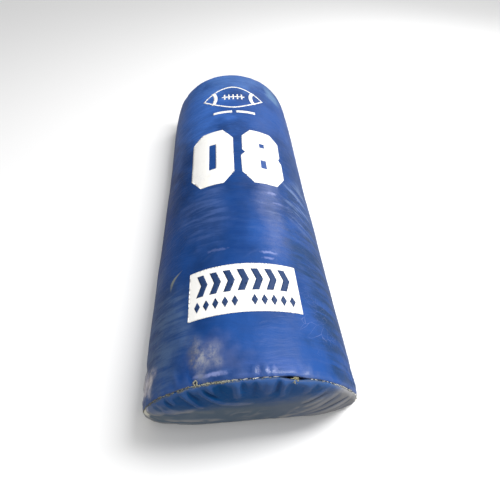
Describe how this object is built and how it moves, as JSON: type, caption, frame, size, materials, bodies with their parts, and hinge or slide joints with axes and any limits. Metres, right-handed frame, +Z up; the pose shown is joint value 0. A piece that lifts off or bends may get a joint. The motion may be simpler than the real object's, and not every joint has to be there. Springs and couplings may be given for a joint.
{
  "type": "tackling bag",
  "caption": "Half-round padded step-over tackling bag with a vinyl cover over shaped foam, a flat back with a lengthwise zipper and web handles.",
  "frame": {"origin": "centre of the bounding box at ground level, under the flat back on which the bag lies", "axes": "+Z up, away from the flat back; +Y along the bag from its foot end to its head end; X across the bag"},
  "size_m": [0.4648, 1.219, 0.229],
  "materials": {
    "cover_vinyl": "vinyl-coated fabric, semi-gloss, blue",
    "back_vinyl": "vinyl-coated fabric, worn satin, blue",
    "rebond_foam": "rebonded foam crumb, matt",
    "soft_foam": "open-cell foam, matt",
    "zipper_tape": "woven tape with moulded teeth",
    "zipper_metal": "nickel-plated, worn",
    "webbing": "woven polypropylene webbing",
    "handle_vinyl": "padded vinyl, satin"
  },
  "bodies": {
    "bag": {"front_cover": "cover_vinyl", "back_panel": "back_vinyl", "foot_end_cap": "cover_vinyl", "head_end_cap": "cover_vinyl", "rebond_core": "rebond_foam", "soft_foam_wrap": "soft_foam", "back_foam_pad": "soft_foam", "foot_foam_disc": "soft_foam", "head_foam_disc": "soft_foam", "zipper_half_left": "zipper_tape", "zipper_half_right": "zipper_tape", "zipper_top_stop_left": "zipper_metal", "zipper_top_stop_right": "zipper_metal", "zipper_bottom_stop": "zipper_metal", "left_handle_strap": "webbing", "left_handle_patch_foot": "handle_vinyl", "left_handle_patch_head": "handle_vinyl", "right_handle_strap": "webbing", "right_handle_patch_foot": "handle_vinyl", "right_handle_patch_head": "handle_vinyl"},
    "slider": {"zipper_slider": "zipper_metal"},
    "pull": {"zipper_pull": "zipper_metal"},
    "left_grip": {"left_handle_sleeve": "handle_vinyl"},
    "right_grip": {"right_handle_sleeve": "handle_vinyl"}
  },
  "joints": [
    {"name": "zipper_slide", "type": "slide", "parent": "bag", "child": "slider", "axis": [0, -1, 0], "range_m": [0, 0.745], "deforming": ["zipper_half_left", "zipper_half_right"]},
    {"name": "pull_hinge", "type": "hinge", "parent": "slider", "child": "pull", "pos_m": [0, 0.3778, 0.0034], "axis": [1, 0, 0], "range_deg": [0, 170]},
    {"name": "left_grip_slide", "type": "slide", "parent": "bag", "child": "left_grip", "axis": [0, 0, -1], "range_m": [0, 0.035], "deforming": ["left_handle_strap"]},
    {"name": "right_grip_slide", "type": "slide", "parent": "bag", "child": "right_grip", "axis": [0, 0, -1], "range_m": [0, 0.035], "deforming": ["right_handle_strap"]}
  ]
}
